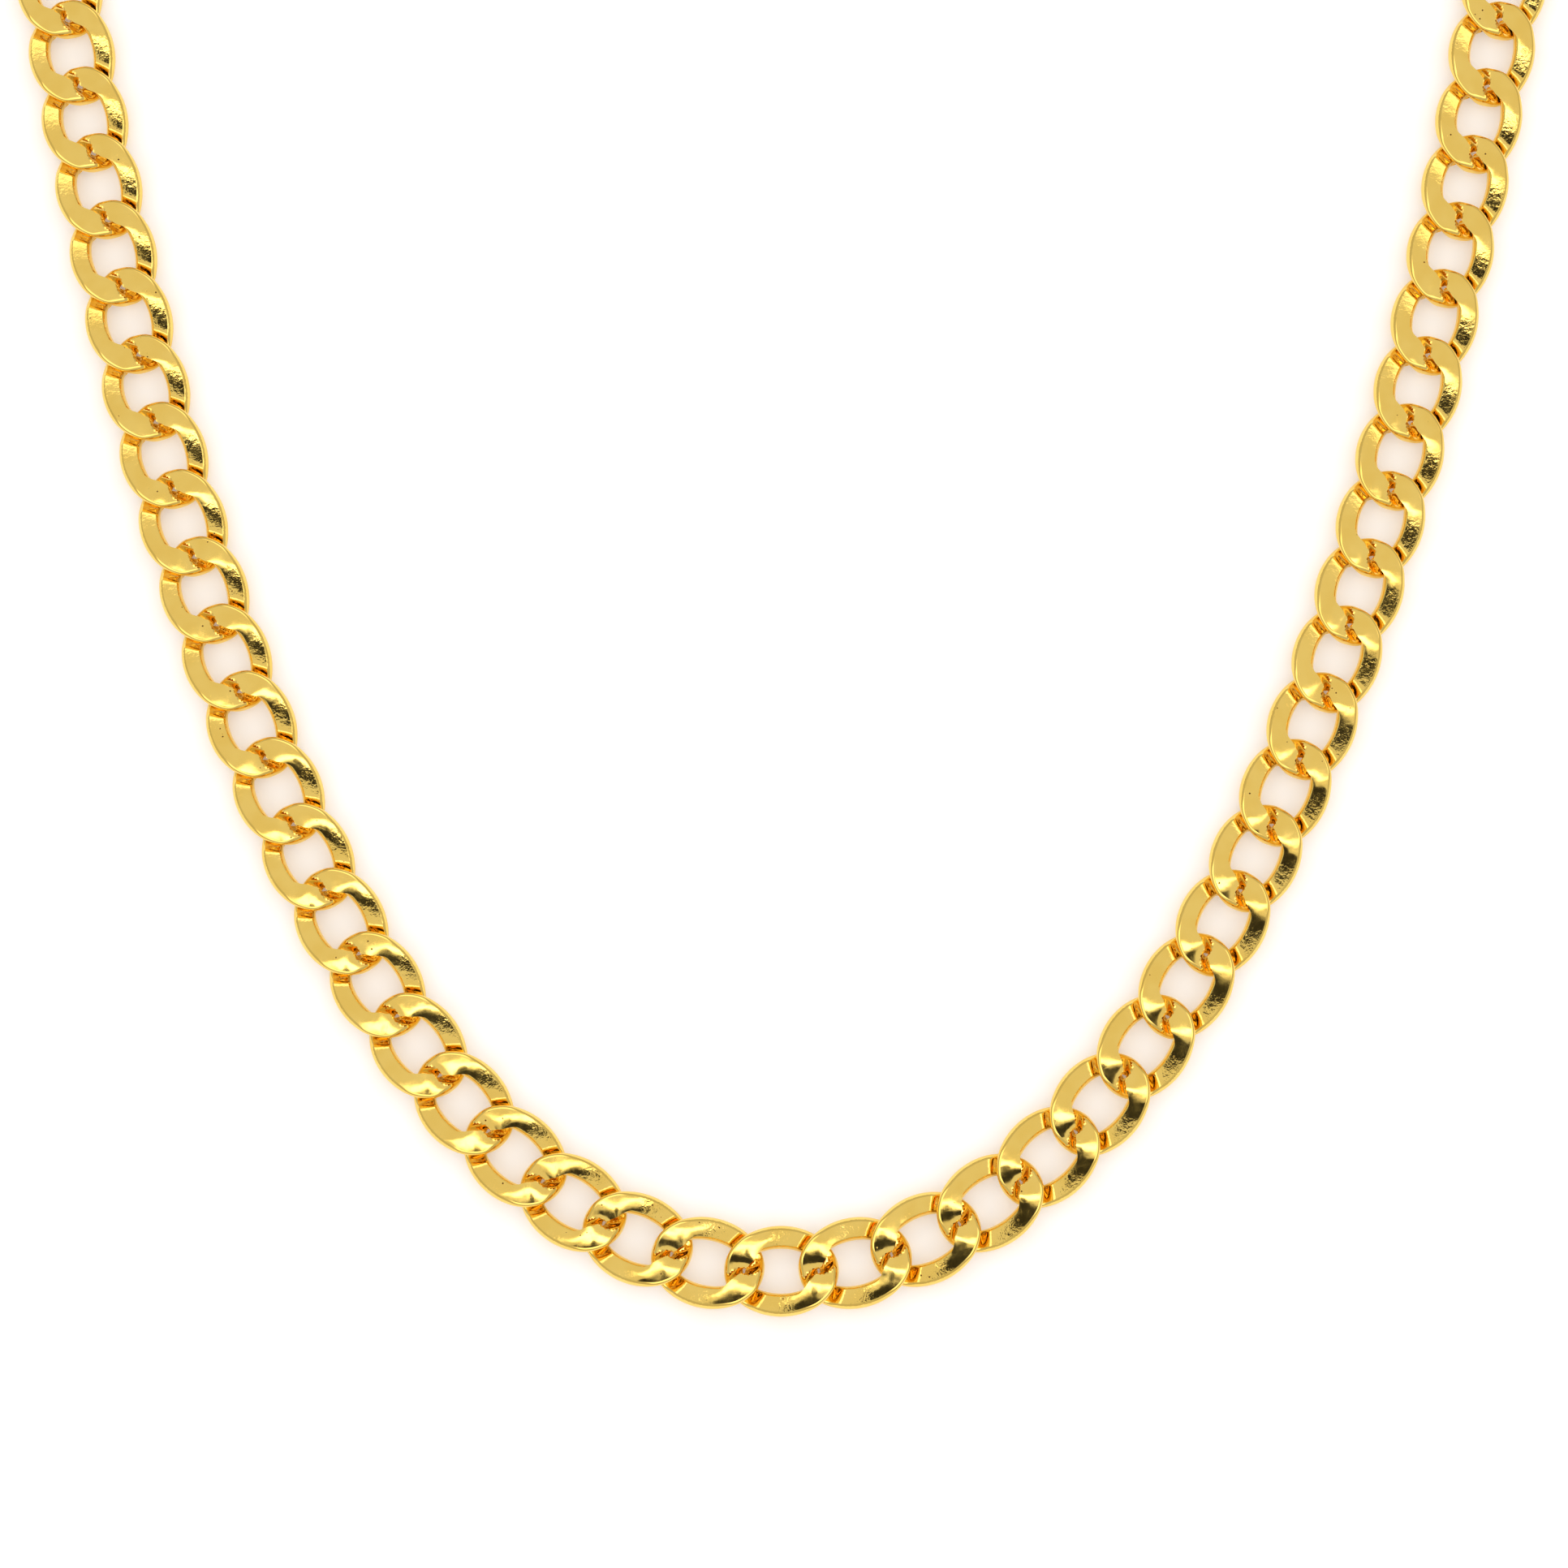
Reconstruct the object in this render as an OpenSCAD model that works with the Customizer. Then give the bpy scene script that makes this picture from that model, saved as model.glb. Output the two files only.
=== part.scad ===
// Curb chain necklace with a lobster clasp, laid open on a flat surface.
// Millimetres. The undersides of the links rest on Z = 0 and the front of the loop points to -Y.

/* [Links] */
// Width of the chain across one link
link_w = 7; // [5:0.1:12]
// Length of one link from tip to tip
link_l = 8.9; // [6:0.1:16]
// Distance between the middles of two neighbouring links
pitch = 5.77; // [4:0.01:10]
// Thickness of the chain between its two ground faces
chain_t = 1.9; // [1.2:0.1:4]
// Width of the wire beside the opening
wire_w = 1.8; // [1:0.1:3]
// Width of the wire at the two tips
tip_w = 1.48; // [0.8:0.02:2.4]
// Width of the slope outside each ground face
outer_slope = 0.46; // [0.1:0.02:0.8]
// Width of the slope inside each ground face
inner_slope = 0.34; // [0.1:0.02:0.6]

/* [Where a wire passes under its neighbour] */
// Angle round the link at which the wire leaves the upper face, before its tip
dip_start = 12; // [5:1:20]
// Angle after the tip at which it is fully down
dip_low = 15; // [10:1:25]
// Angle at which it starts to rise again
rise_start = 62; // [50:1:70]
// Angle at which most of the rise is done
rise_most = 72; // [64:1:85]
// Height of the wire's upper face where it is down
dip_z = -0.24; // [-0.5:0.01:0]
// Height of its upper face where most of the rise is done
rise_z = 0.75; // [0.4:0.01:1]

/* [Necklace] */
// Links in each arm, beside the one at the middle of the front
arm_links = 42; // [20:2:50]
// Sag of the front curve: a hanging chain's curve has this radius at its lowest point
sag = 25.5; // [15:0.5:60]
// Link after which the arm turns in, round the back of the neck
turn_from = 26; // [20:1:34]
// Turn of each link after that, degrees
turn_step = 3.5; // [2:0.1:6]
// How far the middle link lies in front of the origin
front_y = 109.1; // [60:0.1:160]
// Tip-up angles of the last three links, where the rings hold the ends up
end_tilts = [0, 2.5, 9]; // [0:0.5:12]

/* [Rings and clasp] */
// Centreline radius of the clasp ring
clasp_ring_r = 2.1; // [1.5:0.1:3]
// Wire diameter of the clasp ring
clasp_ring_d = 0.9; // [0.6:0.1:1.4]
// Centreline radius of the end ring
end_ring_r = 2.8; // [2:0.1:4]
// Wire diameter of the end ring
end_ring_d = 1.1; // [0.7:0.1:1.5]
// Angle of the saw cut in a ring
ring_cut = 3; // [1:1:8]
// Centreline radius of the eye at the clasp's tail
eye_r = 1.4; // [1:0.1:2]
// Wire diameter of the eye
eye_d = 0.9; // [0.6:0.1:1.2]
// Distance from the eye to the lever's pin
pin_x = 3.9; // [3:0.1:6]
// Distance from the eye to the middle of the claw's opening
claw_x = 7.3; // [6:0.1:10]
// Centreline radius of the claw
claw_r = 2.5; // [2:0.1:4]
// Thickness of the claw
claw_d = 2; // [1.2:0.1:3]
// Radius of the housing round the pin
housing_r = 2.2; // [1.6:0.1:3]
// Thickness of the housing
housing_t = 3; // [2.4:0.1:4]

/* [Hidden] */
half_t = chain_t / 2;
tip_x = (link_l - tip_w) / 2;
side_y = (link_w - wire_w) / 2;
half_pitch = pitch / 2;
slope_floor = 0.45;
ring_angles = [0, 14, 30, 46, 62, 74, 90, 106, 118, 134, 150, 166];
link_angles = concat(ring_angles, [for (t = ring_angles) t + 180]);
rest_gap = 0.05;
play = 0.2;
tip_inner_x = link_l / 2 - tip_w;

clasp_ring_tilt = 58;
clasp_ring_z = clasp_ring_r * sin(clasp_ring_tilt) + clasp_ring_d / 2;
clasp_ring_x = tip_inner_x - play - clasp_ring_d / 2 + clasp_ring_r;
end_ring_tilt = 42;
end_ring_z = end_ring_r * sin(end_ring_tilt) + end_ring_d / 2;
end_ring_x = tip_inner_x - play - end_ring_d / 2 + end_ring_r;

nose_x = claw_x + claw_r;
claw_z = claw_d / 2 + 0.15;
eye_z = 2.15;
nose_down = asin((eye_z - claw_z) / nose_x);
eye_gap = clasp_ring_r + eye_r - eye_d / 2 - clasp_ring_d / 2 - play;
claw_tip_a = -95;
claw_root_a = 150;
slot_t = 1.5;
slot_r = housing_r + 0.2;
tail_wall_x = 1.6;
tail_wall_w = 2.2;
root_wall_x = 1.45;
root_wall_w = 1;
root_wall_a = 47;
pin_r = 0.4;
lever_bore_r = 0.45;
lever_t = 0.85;
lever_z = -0.27;
knuckle_r = 1.2;
gate_r = 0.45;
gate_a = -16;
gate_l = 3.43;
gate_w = 0.78;
tab_a = 85;
tab_l = 3.6;
tab_w = 0.8;
tab_ridge_r = 0.6;
spring_r = 0.8;
spring_wire = 0.18;
spring_pitch = 0.2;
spring_turns = 1.5;
spring_z = 0.3;
spring_steps = 12;
spring_sides = 6;
neck_d = 1.7;

gold = [0.93, 0.72, 0.24];
steel = [0.75, 0.76, 0.78];
round_fn = 64;

arms = ["left", "right"];
pairs = arm_links / 2;

function two_digits(n) = n < 10 ? str("0", n) : str(n);
function pair_name(arm, n) = str(arm, "_links_", two_digits(2 * n - 1), "_", two_digits(2 * n));

// Heading of link j of the right arm: a hanging curve in front, then a steady turn at the back.
function heading(j) = atan(j * pitch / sag) + max(0, j - turn_from) * turn_step;

// Tip-up angle of link j.
function tilt(j) = j > arm_links - 3 ? end_tilts[j - arm_links + 2] : 0;

// Half a pitch along link j, in the necklace's frame.
function half_step(j) = half_pitch * [
    cos(tilt(j)) * cos(heading(j)),
    cos(tilt(j)) * sin(heading(j)),
    sin(tilt(j))
];

// Middle of link j of the right arm.
function link_middle(j) = j == 0
    ? [0, -front_y, half_t]
    : link_middle(j - 1) + half_step(j - 1) + half_step(j) + [0, 0, tilt(j) > 0 ? rest_gap : 0];

// Height of the wire's upper face at angle t round the link. It repeats every half turn.
function top_z(t) = let (u = t - 180 * floor((t + 90) / 180))
    lookup(u, [
        [-90, half_t],
        [-dip_start, half_t],
        [dip_low, dip_z],
        [rise_start, dip_z],
        [rise_most, rise_z],
        [90, half_t]
    ]);

// The six-sided section of the wire at angle t: outer side, upper face, inner side, lower face.
function wire_section(t) =
    let (
        tip = cos(t) * cos(t),
        w = (wire_w * (1 - tip) + tip_w * tip) / 2,
        zt = top_z(t),
        zb = -top_z(-t),
        k = slope_floor + (1 - slope_floor) * (zt - zb) / chain_t,
        zm = (zt + zb) / 2,
        way = [tip_x * sin(t), side_y * cos(t)],
        out = [way[1], way[0]] / norm(way),
        mid = [tip_x * cos(t), side_y * sin(t)]
    )
    [for (p = [
        [w, zm],
        [w - outer_slope * k, zt],
        [inner_slope * k - w, zt],
        [-w, zm],
        [inner_slope * k - w, zb],
        [w - outer_slope * k, zb]
    ]) [mid[0] + out[0] * p[0], mid[1] + out[1] * p[0], p[1]]];

// Triangles of a closed tube of n sections with m points each.
function tube_faces(n, m) = [
    for (i = [0 : n - 1]) for (j = [0 : m - 1])
        let (a = i * m + j, b = (i + 1) % n * m + j, c = (i + 1) % n * m + (j + 1) % m, d = i * m + (j + 1) % m)
        each [[a, b, c], [a, c, d]]
];

// One link, lying flat with its length along X and its middle at the origin.
module curb_link() {
    sections = [for (t = link_angles) wire_section(t)];
    polyhedron(
        points = [for (s = sections) each s],
        faces = tube_faces(len(sections), len(sections[0]))
    );
}

// Puts its children on link j of an arm. +X then points away from the front of the necklace.
module at_link(side, j) {
    m = link_middle(j);
    translate([side * m[0], m[1], m[2]])
        rotate([0, 0, side > 0 ? heading(j) : 180 - heading(j)])
            rotate([0, -tilt(j), 0])
                children();
}

// As at_link, but level and at height z.
module past_end(side, z) {
    m = link_middle(arm_links);
    translate([side * m[0], m[1], z])
        rotate([0, 0, side > 0 ? heading(arm_links) : 180 - heading(arm_links)])
            children();
}

module front_middle_link() {
    color(gold)
        at_link(1, 0)
            curb_link();
}

module link_pair(side, n) {
    color(gold)
        for (j = [2 * n - 1, 2 * n])
            at_link(side, j)
                curb_link();
}

// A ring of round wire, open by a saw cut at its far side.
module cut_ring(r, d) {
    rotate([0, 0, ring_cut / 2])
        rotate_extrude(angle = 360 - ring_cut, $fn = round_fn)
            translate([r, 0])
                circle(d = d, $fn = round_fn);
}

module clasp_ring() {
    color(gold)
        past_end(-1, clasp_ring_z)
            translate([clasp_ring_x, 0, 0])
                rotate([clasp_ring_tilt, 0, 0])
                    rotate([0, 0, -60])
                        cut_ring(clasp_ring_r, clasp_ring_d);
}

module end_ring() {
    color(gold)
        past_end(1, end_ring_z)
            translate([end_ring_x, 0, 0])
                rotate([end_ring_tilt, 0, 0])
                    rotate([0, 0, -60])
                        cut_ring(end_ring_r, end_ring_d);
}

// Frame of the clasp: the eye at the origin, the nose along +X and a little down.
module at_clasp() {
    past_end(-1, eye_z)
        translate([clasp_ring_x + eye_gap, 0, 0])
            rotate([0, nose_down, 0])
                children();
}

module at_pin() {
    at_clasp()
        translate([pin_x, 0, 0])
            children();
}

// A wall of width w that starts at distance x from the pin, in direction a.
module slot_wall(a, x, w) {
    rotate([0, 0, a])
        translate([x, -w / 2, -slot_t])
            cube([housing_r, w, 2 * slot_t]);
}

// The room in the housing for the lever, with one wall left at the tail and one at the claw's root.
module lever_slot() {
    difference() {
        cylinder(r = slot_r, h = slot_t, center = true, $fn = round_fn);
        slot_wall(180, tail_wall_x, tail_wall_w);
        slot_wall(root_wall_a, root_wall_x, root_wall_w);
    }
}

module clasp_body() {
    color(gold)
        at_clasp()
            difference() {
                union() {
                    rotate_extrude($fn = round_fn)
                        translate([eye_r, 0])
                            circle(d = eye_d, $fn = round_fn);
                    translate([eye_r + eye_d / 4, 0, 0])
                        rotate([0, 90, 0])
                            cylinder(d = neck_d, h = pin_x - eye_r - tail_wall_x, $fn = round_fn);
                    translate([pin_x, 0, 0])
                        cylinder(r = housing_r, h = housing_t, center = true, $fn = round_fn);
                    translate([claw_x, 0, 0])
                        rotate([0, 0, claw_tip_a])
                            rotate_extrude(angle = claw_root_a - claw_tip_a, $fn = round_fn)
                                translate([claw_r, 0])
                                    circle(d = claw_d, $fn = round_fn);
                }
                translate([0, 0, -housing_t])
                    cylinder(r = eye_r - eye_d / 2, h = 2 * housing_t, $fn = round_fn);
                translate([pin_x, 0, 0])
                    lever_slot();
                translate([pin_x, 0, -housing_t])
                    cylinder(r = pin_r, h = 2 * housing_t, $fn = round_fn);
            }
}

// A flat bar of width w and length l, from the pin outwards in direction a.
module lever_bar(a, l, w) {
    rotate([0, 0, a])
        translate([0, -w / 2, -lever_t / 2])
            cube([l, w, lever_t]);
}

module clasp_lever() {
    color(gold)
        at_pin()
            translate([0, 0, lever_z])
                difference() {
                    union() {
                        cylinder(r = knuckle_r, h = lever_t, center = true, $fn = round_fn);
                        lever_bar(gate_a, gate_l, gate_w);
                        rotate([0, 0, gate_a])
                            translate([gate_l, 0, -lever_t / 2])
                                cylinder(r = gate_r, h = lever_t, $fn = round_fn);
                        lever_bar(tab_a, tab_l, tab_w);
                        rotate([0, 0, tab_a])
                            translate([tab_l, 0, -lever_t])
                                cylinder(r = tab_ridge_r, h = 2 * lever_t, $fn = round_fn);
                    }
                    translate([0, 0, -lever_t])
                        cylinder(r = lever_bore_r, h = 2 * lever_t, $fn = round_fn);
                }
}

module clasp_pin() {
    color(steel)
        at_pin()
            cylinder(r = pin_r, h = housing_t, center = true, $fn = round_fn);
}

// One section of the spring's wire at angle a along the coil.
function coil_section(a) = [
    for (k = [0 : spring_sides - 1])
        let (
            q = 360 * k / spring_sides,
            r = spring_r + spring_wire / 2 * cos(q)
        )
        [r * cos(a), r * sin(a), spring_pitch * a / 360 + spring_wire / 2 * sin(q)]
];

module clasp_spring() {
    n = spring_turns * spring_steps;
    points = [for (i = [0 : n]) each coil_section(i * 360 / spring_steps)];
    sides = [
        for (i = [0 : n - 1]) for (j = [0 : spring_sides - 1])
            let (
                a = i * spring_sides + j,
                d = i * spring_sides + (j + 1) % spring_sides
            )
            each [[a, d, d + spring_sides], [a, d + spring_sides, a + spring_sides]]
    ];
    ends = [
        [for (j = [spring_sides - 1 : -1 : 0]) j],
        [for (j = [0 : spring_sides - 1]) n * spring_sides + j]
    ];
    color(steel)
        at_pin()
            translate([0, 0, spring_z])
                polyhedron(points = points, faces = concat(sides, ends));
}

front_middle_link();
for (n = [1 : pairs]) {
    link_pair(-1, n);
    link_pair(1, n);
}
clasp_ring();
clasp_body();
clasp_lever();
clasp_pin();
clasp_spring();
end_ring();
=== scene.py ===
"""Looks of the curb chain necklace: polished gold links, rings and clasp on a pale floor."""

import math

import bmesh
import bpy
import numpy as np
from mathutils import Matrix, Vector


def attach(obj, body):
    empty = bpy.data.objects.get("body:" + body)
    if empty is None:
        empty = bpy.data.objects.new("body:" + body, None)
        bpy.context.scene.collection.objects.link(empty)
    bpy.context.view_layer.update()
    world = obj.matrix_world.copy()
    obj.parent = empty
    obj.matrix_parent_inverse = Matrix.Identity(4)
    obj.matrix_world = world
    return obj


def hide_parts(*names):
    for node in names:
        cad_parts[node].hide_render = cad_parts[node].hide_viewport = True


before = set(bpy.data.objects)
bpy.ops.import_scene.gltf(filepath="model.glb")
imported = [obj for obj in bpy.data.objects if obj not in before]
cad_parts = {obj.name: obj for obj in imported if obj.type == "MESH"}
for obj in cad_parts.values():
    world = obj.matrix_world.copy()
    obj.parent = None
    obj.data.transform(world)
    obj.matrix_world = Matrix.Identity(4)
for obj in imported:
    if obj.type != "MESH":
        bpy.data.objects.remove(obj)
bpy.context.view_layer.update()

MM = 0.001
RAD = math.pi / 180

# The chain's sizes in millimetres and degrees, as in the part's source.
LINK_W = 7.0
LINK_L = 8.9
PITCH = 5.77
CHAIN_T = 1.9
WIRE_W = 1.8
TIP_W = 1.48
OUTER_SLOPE = 0.46
INNER_SLOPE = 0.34
SAG = 25.5
TURN_FROM = 26
TURN_STEP = 3.5
FRONT_Y = 109.1
ARM_LINKS = 42
END_TILTS = (0.0, 2.5, 9.0)
REST_GAP = 0.05

# The link's mesh: sections along it, and points across each side and face.
RINGS = 132
SIDE_POINTS = 7
FACE_POINTS = 6

# The link's faces: where the edge turns from face to side, the crown along the strand and across it,
# and how low the upper face goes where the neighbour crosses over it.
EDGE_ANGLE = 22
SHARP_ANGLE = 17
CROWN_PEAK = 140
CROWN_RADIUS = 15.0
CROSS_CROWN = 0.018
LOW_Z = -0.24
# Angles where the upper face starts and ends its fall, and its rise, at the inner and the outer side.
FALL = ((-12, 2), (8, 24))
RISE = ((50, 46), (69, 65))
# The raised end is wider on its inner side: by how much, and the angles where that starts, is full,
# wanes and ends.
WEDGE = 0.55
WEDGE_AT = (-70, -36, -18, 2)

# The floor's half width in metres, and its gap below the chain in millimetres.
FLOOR_HALF = 3.0
FLOOR_GAP = 0.02

# How deep the hammered patches are, in millimetres.
HAMMER_DEPTH = 0.02

# The camera: how far it leans from straight down, its distance and lens, and the point it looks at.
LEAN = 9.0
DISTANCE = 300.0
LENS = 87.4
AIM = (0.2, -71.0, 0.95)


# ---------------------------------------------------------------- the chain's layout

def heading(j):
    return math.atan(j * PITCH / SAG) / RAD + max(0, j - TURN_FROM) * TURN_STEP


def tilt(j):
    return END_TILTS[j - ARM_LINKS + 2] if j > ARM_LINKS - 3 else 0.0


def half_step(j):
    a, b = tilt(j) * RAD, heading(j) * RAD
    return PITCH / 2 * np.array([math.cos(a) * math.cos(b), math.cos(a) * math.sin(b), math.sin(a)])


def link_middles():
    places = [np.array([0.0, -FRONT_Y, CHAIN_T / 2])]
    for j in range(1, ARM_LINKS + 1):
        gap = np.array([0, 0, REST_GAP if tilt(j) > 0 else 0.0])
        places.append(places[-1] + half_step(j - 1) + half_step(j) + gap)
    return places


MIDDLES = link_middles()


def link_matrix(side, j):
    m = MIDDLES[j]
    turn = heading(j) if side > 0 else 180 - heading(j)
    return (
        Matrix.Translation((side * m[0], m[1], m[2]))
        @ Matrix.Rotation(turn * RAD, 4, "Z")
        @ Matrix.Rotation(-tilt(j) * RAD, 4, "Y")
    )


# ---------------------------------------------------------------- the link's shape

def smooth(u):
    u = np.clip(u, 0.0, 1.0)
    return u * u * (3 - 2 * u)


def top_z(t, s):
    """Height of the upper face at angle t, from its inner side, s = 0, to its outer side, s = 1.

    It is crowned where it is up and low where it passes under. The outer side falls later and rises sooner.
    """
    u = (t + 90) % 180 - 90
    walk = 0.5 * (LINK_L + LINK_W - WIRE_W - TIP_W) / 2 * RAD
    from_peak = ((u - CROWN_PEAK + 90) % 180 - 90) * walk
    up = CHAIN_T / 2 - from_peak ** 2 / (2 * CROWN_RADIUS)
    if u < 38:
        start, end = (inner + (outer - inner) * s for inner, outer in FALL)
        return up + (LOW_Z - up) * smooth((u - start) / (end - start))
    start, end = (inner + (outer - inner) * s for inner, outer in RISE)
    return LOW_Z + (up - LOW_Z) * smooth((u - start) / (end - start))


def wedge(t):
    """Extra width of the upper face on its inner side at angle t."""
    u = (t + 90) % 180 - 90
    a, b, c, d = WEDGE_AT
    return WEDGE * smooth((u - a) / (b - a)) * (1 - smooth((u - c) / (d - c))) if u < 10 else 0.0


def section(t):
    """Points of the wire's section at angle t, each with a mark: 0 on a face, 1 on a side."""
    tip = math.cos(t * RAD) ** 2
    w = (WIRE_W * (1 - tip) + TIP_W * tip) / 2
    first = EDGE_ANGLE * RAD
    sweep = np.linspace(first, math.pi / 2, SIDE_POINTS)
    across = (np.sin(sweep) - math.sin(first)) / (1 - math.sin(first))
    down = np.cos(sweep) / math.cos(first)

    def side(slope, sign, s, more_above=0.0, more_below=0.0):
        """The rounded side from its upper edge to its lower edge, and the places of those edges."""
        high, low = top_z(t, s) - CROSS_CROWN, CROSS_CROWN - top_z(-t, s)
        middle = (high + low) / 2
        b = slope * (0.45 + 0.55 * (high - low) / CHAIN_T)
        upper, lower = (
            [
                (sign * (w - b + b * a + more * (1 - a)), middle + (z - middle) * d, 1.0)
                for a, d in zip(across, down)
            ]
            for z, more in ((high, more_above), (low, more_below))
        )
        return upper + lower[-2::-1], upper[0][0], lower[0][0]

    def face(x0, x1, s0, s1, sign):
        """The points between two edges, slightly crowned. The sign is 1 above and -1 below."""
        cells = []
        for i in range(FACE_POINTS):
            f = 0.5 - 0.5 * math.cos(math.pi * (i + 1) / (FACE_POINTS + 1))
            z = top_z(sign * t, s0 + (s1 - s0) * f) - CROSS_CROWN * (2 * f - 1) ** 2
            cells.append((x0 + (x1 - x0) * f, sign * z, 0.0))
        return cells

    outer, outer_above, outer_below = side(OUTER_SLOPE, 1, 1)
    inner, inner_above, inner_below = side(INNER_SLOPE, -1, 0, wedge(t), wedge(-t))
    return (
        outer[::-1]
        + face(outer_above, inner_above, 1, 0, 1)
        + inner
        + face(inner_below, outer_below, 0, 1, -1)
    )


def link_shape():
    """One link in millimetres: its vertices, its faces and three marks for each vertex.

    The marks are rim for the sides, worn for the hammered patch, and a third that sets painted shade in the
    crevice under the neighbour.
    """
    tip_x, side_y = (LINK_L - TIP_W) / 2, (LINK_W - WIRE_W) / 2
    verts, rim, worn, deep = [], [], [], []
    for i in range(RINGS):
        t = 360 * i / RINGS
        c, s = math.cos(t * RAD), math.sin(t * RAD)
        out = np.array([side_y * c, tip_x * s])
        out /= np.hypot(*out)
        mid = np.array([tip_x * c, side_y * s])
        cells = section(t)
        count = len(cells)
        for x, z, mark in cells:
            p = mid + out * x
            verts.append((p[0], p[1], z))
            rim.append(mark)
            u = ((t if z > 0 else -t) + 90) % 180 - 90
            worn.append(float(smooth((u % 180 - 58) / 12) * (1 - smooth((u % 180 - 84) / 34))))
            # Painted shade: marks the crevice where the face passes under the neighbour link, to be darkened
            # in the material.
            from_side = u + 8 - 22 * smooth((x + 0.5) / 1.0)
            deep.append(float(smooth(from_side / 13) * (1 - smooth((u - 48) / 12))))
    faces = []
    for i in range(RINGS):
        for j in range(count):
            a, b = i * count + j, ((i + 1) % RINGS) * count + j
            c, d = ((i + 1) % RINGS) * count + (j + 1) % count, i * count + (j + 1) % count
            faces.append((a, b, c, d))
    verts = np.array(verts)
    a, b, c = (verts[[f[k] for f in faces]] for k in (0, 1, 2))
    if np.einsum("ij,ij->i", a, np.cross(b, c)).sum() < 0:
        faces = [f[::-1] for f in faces]
    return verts, faces, np.array(rim), np.array(worn), np.array(deep)


LINK = link_shape()


def set_marks(mesh, **marks):
    for name, values in marks.items():
        layer = mesh.attributes.new(name, "FLOAT", "POINT")
        layer.data.foreach_set("value", np.asarray(values, np.float32))


def links_object(name, places):
    """One object that holds a link at each of the places, with its points in the shared frame."""
    verts, faces, rim, worn, deep = LINK
    all_verts, all_faces = [], []
    for k, place in enumerate(places):
        m = np.array(place)
        moved = verts @ m[:3, :3].T + m[:3, 3]
        all_verts.append(moved * MM)
        base = k * len(verts)
        all_faces += [tuple(base + v for v in f) for f in faces]
    mesh = bpy.data.meshes.new(name)
    mesh.from_pydata(np.concatenate(all_verts).tolist(), [], all_faces)
    n = len(places)
    set_marks(mesh, rim=np.tile(rim, n), worn=np.tile(worn, n), deep=np.tile(deep, n))
    mesh.shade_smooth()
    mesh.set_sharp_from_angle(angle=SHARP_ANGLE * RAD)
    ob = bpy.data.objects.new(name, mesh)
    bpy.context.scene.collection.objects.link(ob)
    return ob


# ---------------------------------------------------------------- materials

class Nodes:
    """Short calls for building a node tree."""

    def __init__(self, tree):
        self.tree = tree
        tree.nodes.clear()

    def add(self, kind, **values):
        node = self.tree.nodes.new(kind)
        for key, value in values.items():
            if hasattr(node, key):
                setattr(node, key, value)
            else:
                self.put(node.inputs[key.replace("_", " ")], value)
        return node

    def put(self, socket, value):
        if isinstance(value, bpy.types.NodeSocket):
            self.tree.links.new(value, socket)
        else:
            socket.default_value = value

    def math(self, operation, *values):
        node = self.tree.nodes.new("ShaderNodeMath")
        node.operation = operation
        for socket, value in zip(node.inputs, values):
            self.put(socket, value)
        return node.outputs[0]

    def span(self, value, low, high, to_low=0.0, to_high=1.0):
        node = self.tree.nodes.new("ShaderNodeMapRange")
        node.interpolation_type = "SMOOTHSTEP"
        names = ("Value", "From Min", "From Max", "To Min", "To Max")
        for key, v in zip(names, (value, low, high, to_low, to_high)):
            self.put(node.inputs[key], v)
        return node.outputs[0]

    def noise(self, where, size, detail=2.0, rough=0.5, stretch=None):
        """Noise whose features measure about size millimetres."""
        if stretch:
            squeeze = self.tree.nodes.new("ShaderNodeMapping")
            squeeze.inputs["Scale"].default_value = stretch
            self.put(squeeze.inputs["Vector"], where)
            where = squeeze.outputs[0]
        node = self.tree.nodes.new("ShaderNodeTexNoise")
        self.put(node.inputs["Vector"], where)
        node.inputs["Scale"].default_value = 1 / (size * MM)
        node.inputs["Detail"].default_value = detail
        node.inputs["Roughness"].default_value = rough
        return node.outputs["Fac"]

    def mix(self, factor, a, b):
        node = self.tree.nodes.new("ShaderNodeMix")
        node.data_type = "RGBA"
        self.put(node.inputs["Factor"], factor)
        for socket, value in ((node.inputs[6], a), (node.inputs[7], b)):
            self.put(socket, value if isinstance(value, bpy.types.NodeSocket) else (*value, 1))
        return node.outputs[2]

    def bump(self, height, depth, normal=None, strength=1.0):
        """Bump of depth millimetres for a height of one."""
        node = self.tree.nodes.new("ShaderNodeBump")
        node.inputs["Distance"].default_value = depth * MM
        self.put(node.inputs["Strength"], strength)
        self.put(node.inputs["Height"], height)
        if normal is not None:
            self.put(node.inputs["Normal"], normal)
        return node.outputs[0]


def new_material(name):
    material = bpy.data.materials.new(name)
    material.use_nodes = True
    nodes = Nodes(material.node_tree)
    out = nodes.add("ShaderNodeOutputMaterial")
    shader = nodes.add("ShaderNodeBsdfPrincipled")
    nodes.put(out.inputs["Surface"], shader.outputs[0])
    return material, nodes, shader


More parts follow.
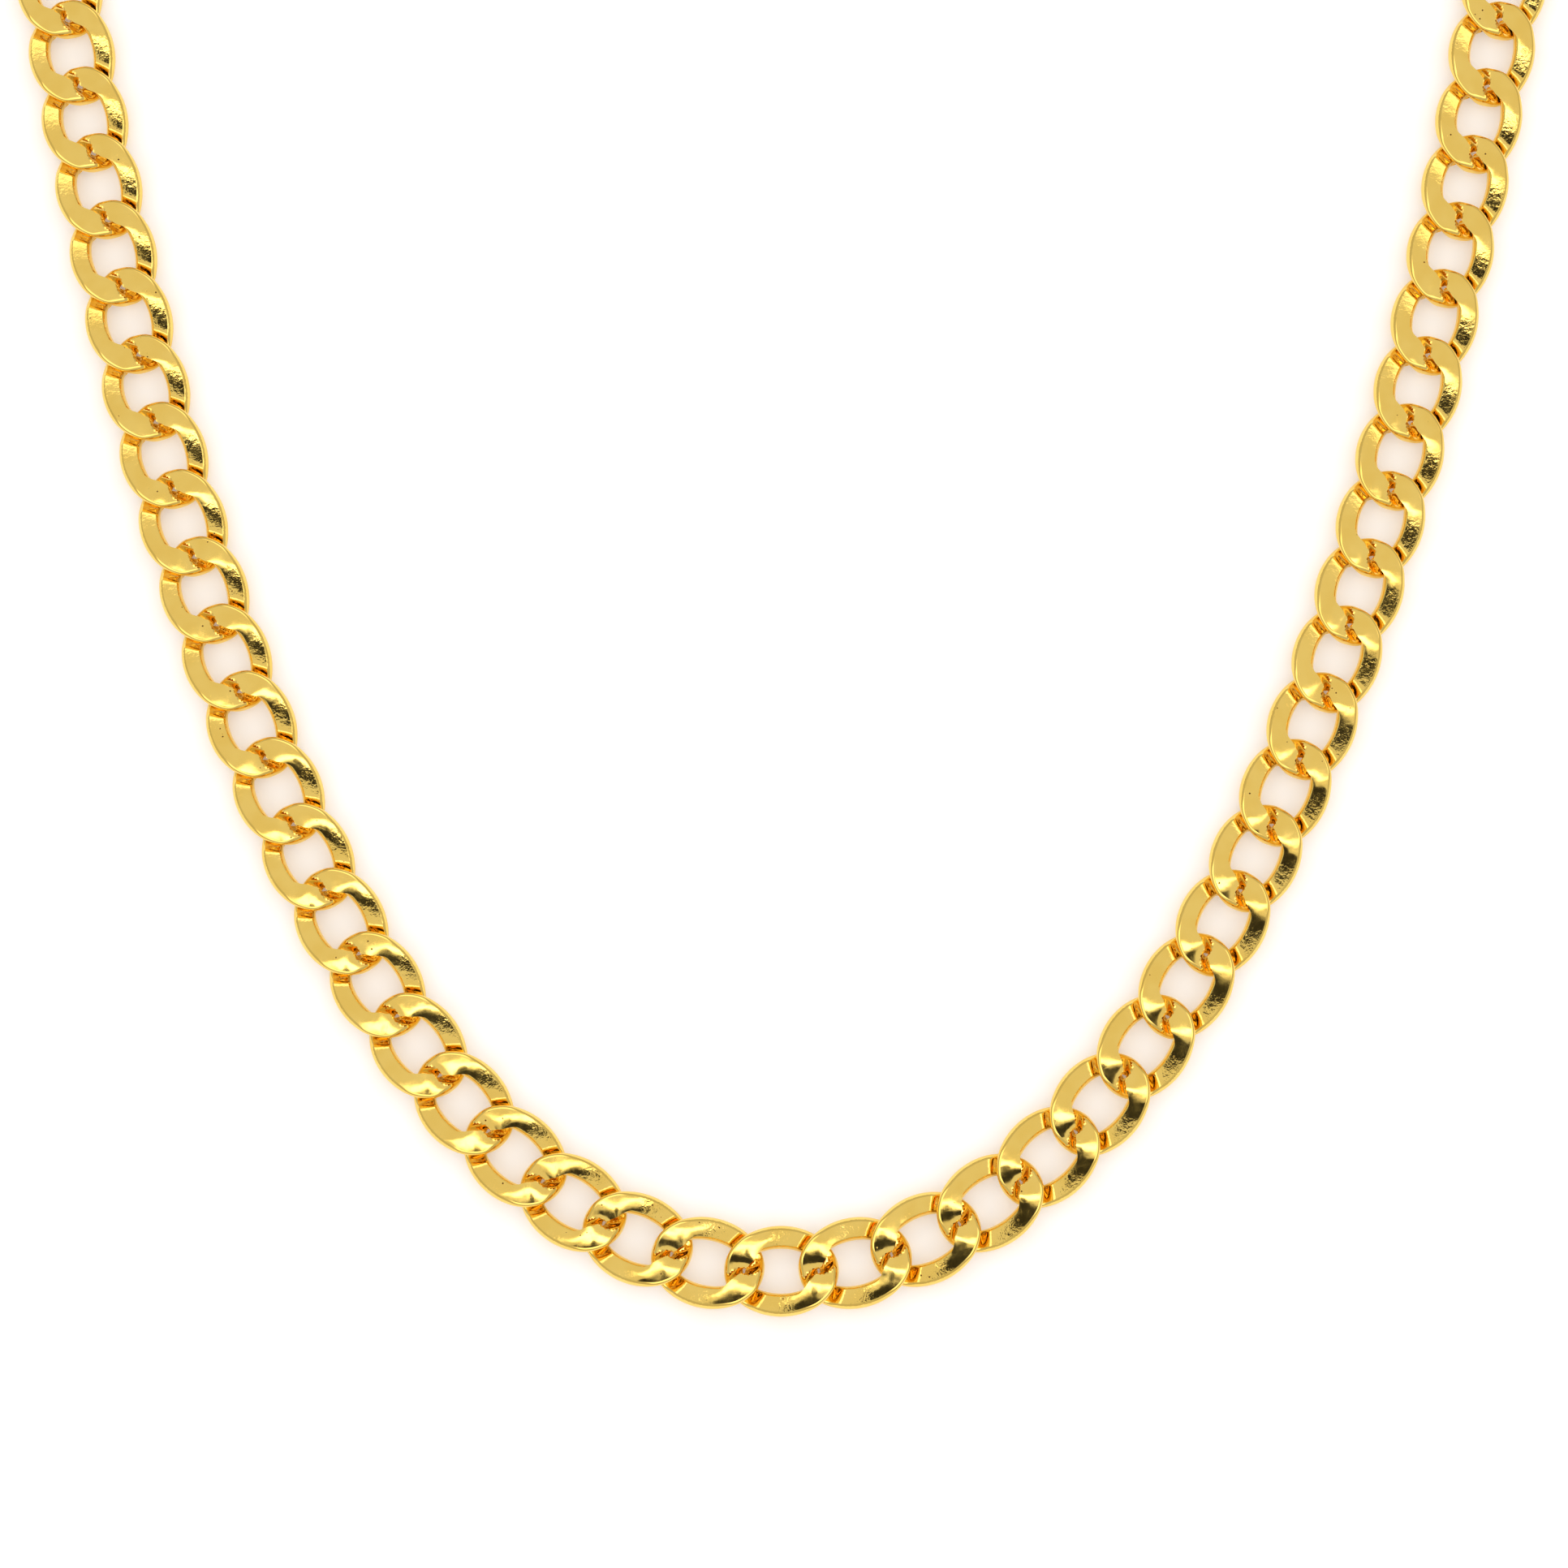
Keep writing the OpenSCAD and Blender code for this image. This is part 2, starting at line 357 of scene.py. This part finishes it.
def gold_material(name):
    """Polished gold plate: soft dents, hammered patches, painted shade in the crevices under the neighbour,
    pits and fine scratches.
    """
    material, n, shader = new_material(name)
    where = n.add("ShaderNodeTexCoord").outputs["Object"]
    worn = n.add("ShaderNodeAttribute", attribute_name="worn").outputs["Fac"]
    rim = n.add("ShaderNodeAttribute", attribute_name="rim").outputs["Fac"]
    # Mask for the painted shade in the crevice under the neighbour link.
    deep = n.add("ShaderNodeAttribute", attribute_name="deep").outputs["Fac"]
    dents = n.noise(where, 1.9, 1.5)
    hammer = n.noise(where, 0.34, 2.5, 0.6)
    orange = n.noise(where, 0.6, 1.0)
    scratch = n.noise(where, 0.12, 2.0, 0.6, (1.0, 0.12, 1.0))
    pit_cells = n.add("ShaderNodeTexVoronoi", Scale=1 / (0.55 * MM), Vector=where)
    pit_pick = n.noise(where, 1.1, 0.0)
    pits = n.math(
        "MULTIPLY",
        n.span(pit_cells.outputs["Distance"], 0.16, 0.09),
        n.span(pit_pick, 0.63, 0.68),
    )
    pits = n.math("MULTIPLY", pits, n.span(rim, 0.5, 0.1))
    normal = n.bump(dents, 0.034)
    normal = n.bump(orange, 0.0022, normal)
    normal = n.bump(hammer, HAMMER_DEPTH, normal, n.span(worn, 0.05, 0.9))
    normal = n.bump(n.math("MULTIPLY", pits, -1.0), 0.03, normal)
    normal = n.bump(scratch, 0.0003, normal)
    tint = n.mix(n.span(dents, 0.3, 0.7), (0.97, 0.68, 0.17), (0.94, 0.635, 0.14))
    # Painted shade: the tint turns dark brown in the crevice under the neighbour link.
    tint = n.mix(n.math("MULTIPLY", deep, 0.9), tint, (0.22, 0.11, 0.03))
    tint = n.mix(pits, tint, (0.16, 0.07, 0.01))
    rough = n.span(n.noise(where, 0.8, 3.0), 0.3, 0.75, 0.055, 0.12)
    rough = n.math("ADD", rough, n.math("MULTIPLY", n.span(scratch, 0.55, 0.8), 0.05))
    n.put(shader.inputs["Base Color"], tint)
    shader.inputs["Metallic"].default_value = 1.0
    n.put(shader.inputs["Roughness"], rough)
    n.put(shader.inputs["Normal"], normal)
    return material


def steel_material():
    """Bright drawn steel with fine lines."""
    material, n, shader = new_material("bright_steel")
    where = n.add("ShaderNodeTexCoord").outputs["Object"]
    lines = n.noise(where, 0.08, 2.0, 0.6, (1.0, 1.0, 0.1))
    n.put(shader.inputs["Base Color"], n.mix(lines, (0.62, 0.63, 0.65), (0.72, 0.73, 0.75)))
    shader.inputs["Metallic"].default_value = 1.0
    n.put(shader.inputs["Roughness"], n.span(lines, 0.2, 0.8, 0.16, 0.32))
    n.put(shader.inputs["Normal"], n.bump(lines, 0.001))
    return material


def floor_material():
    material, n, shader = new_material("pale_floor")
    where = n.add("ShaderNodeTexCoord").outputs["Object"]
    grain = n.noise(where, 0.7, 3.0)
    n.put(shader.inputs["Base Color"], n.mix(grain, (0.92, 0.905, 0.90), (0.94, 0.925, 0.92)))
    shader.inputs["Roughness"].default_value = 0.9
    shader.inputs["Specular IOR Level"].default_value = 0.1
    shader.inputs["Emission Color"].default_value = (1.0, 0.97, 0.96, 1.0)
    shader.inputs["Emission Strength"].default_value = 0.2
    return material


GOLD = gold_material("polished_gold")
STEEL = steel_material()


# ---------------------------------------------------------------- pieces

def show(ob, body, nodes, slot):
    ob.data.materials.clear()
    ob.data.materials.append(GOLD if slot == "gold_plate" else STEEL)
    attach(ob, body)
    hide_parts(*nodes)


front = links_object("front_link_polished", [link_matrix(1, 0)])
show(front, "front_middle_link", ["front_middle_link"], "gold_plate")
for side, arm in ((-1, "left"), (1, "right")):
    for first in range(1, ARM_LINKS, 2):
        node = f"{arm}_links_{first:02d}_{first + 1:02d}"
        pair = links_object(f"{node}_polished", [link_matrix(side, first), link_matrix(side, first + 1)])
        show(pair, node, [node], "gold_plate")

for name in ("clasp_ring", "clasp_body", "clasp_lever", "end_ring", "clasp_pin", "clasp_spring"):
    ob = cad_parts[name]
    steel = name in ("clasp_pin", "clasp_spring")
    ob.data.materials.clear()
    ob.data.materials.append(STEEL if steel else GOLD)


# ---------------------------------------------------------------- floor, light and camera

def make_floor():
    mesh = bpy.data.meshes.new("floor")
    grid = bmesh.new()
    bmesh.ops.create_grid(grid, x_segments=2, y_segments=2, size=FLOOR_HALF)
    grid.to_mesh(mesh)
    grid.free()
    ob = bpy.data.objects.new("floor", mesh)
    ob.location.z = -FLOOR_GAP * MM
    mesh.materials.append(floor_material())
    bpy.context.scene.collection.objects.link(ob)


def make_sky():
    """A white studio with a bright band half way up, and overhead a lamp, a dark panel and a small dark spot.

    Angles are in degrees from straight up: ax to the right, ay to the back and high in any direction.
    """
    world = bpy.data.worlds.new("studio")
    bpy.context.scene.world = world
    world.use_nodes = True
    n = Nodes(world.node_tree)
    way = n.add("ShaderNodeTexCoord").outputs["Generated"]
    split = n.add("ShaderNodeSeparateXYZ", Vector=way)
    x, y, z = split.outputs
    degrees = 180 / math.pi
    ax = n.math("MULTIPLY", n.math("ARCTAN2", x, z), degrees)
    ay = n.math("MULTIPLY", n.math("ARCTAN2", y, z), degrees)
    high = n.math("MULTIPLY", n.math("ARCCOSINE", z), degrees)

    def panel(y_middle, half_x, half_y, power=4.0):
        """Distance from the middle of a soft-cornered panel overhead, one at its edge."""
        a = n.math("DIVIDE", ax, half_x)
        b = n.math("DIVIDE", n.math("SUBTRACT", ay, y_middle), half_y)
        a, b = (n.math("POWER", n.math("ABSOLUTE", v), power) for v in (a, b))
        return n.math("POWER", n.math("ADD", a, b), 1 / power)

    level = n.math("ADD", n.span(high, 38.0, 46.0, 0.8, 1.75), n.span(high, 54.0, 64.0, 0.0, -1.15))
    lamp = n.span(panel(3.4, 15.0, 2.6, 2.0), 1.3, 0.5)
    level = n.math("ADD", level, n.math("MULTIPLY", lamp, 3.2))
    level = n.math("MULTIPLY", level, n.span(panel(-6.2, 14.0, 5.0), 0.86, 1.06, 0.04, 1.0))
    level = n.math("MULTIPLY", level, n.span(panel(0.6, 2.6, 2.4, 2.0), 0.7, 1.1, 0.12, 1.0))
    sky = n.add("ShaderNodeBackground", Color=(1.0, 0.985, 0.97, 1.0))
    n.put(sky.inputs["Strength"], level)
    out = n.add("ShaderNodeOutputWorld")
    n.put(out.inputs["Surface"], sky.outputs[0])


def make_camera():
    camera = bpy.data.cameras.new("camera")
    camera.lens = LENS
    camera.sensor_width = 36
    camera.clip_start = 0.01
    camera.clip_end = 10
    ob = bpy.data.objects.new("camera", camera)
    lean = LEAN * RAD
    ob.location = Vector(AIM) * MM + Vector((0, -math.sin(lean), math.cos(lean))) * DISTANCE * MM
    ob.rotation_euler = (lean, 0, 0)
    bpy.context.scene.collection.objects.link(ob)
    bpy.context.scene.camera = ob


make_floor()
make_sky()
make_camera()
bpy.context.scene.view_settings.view_transform = "Standard"
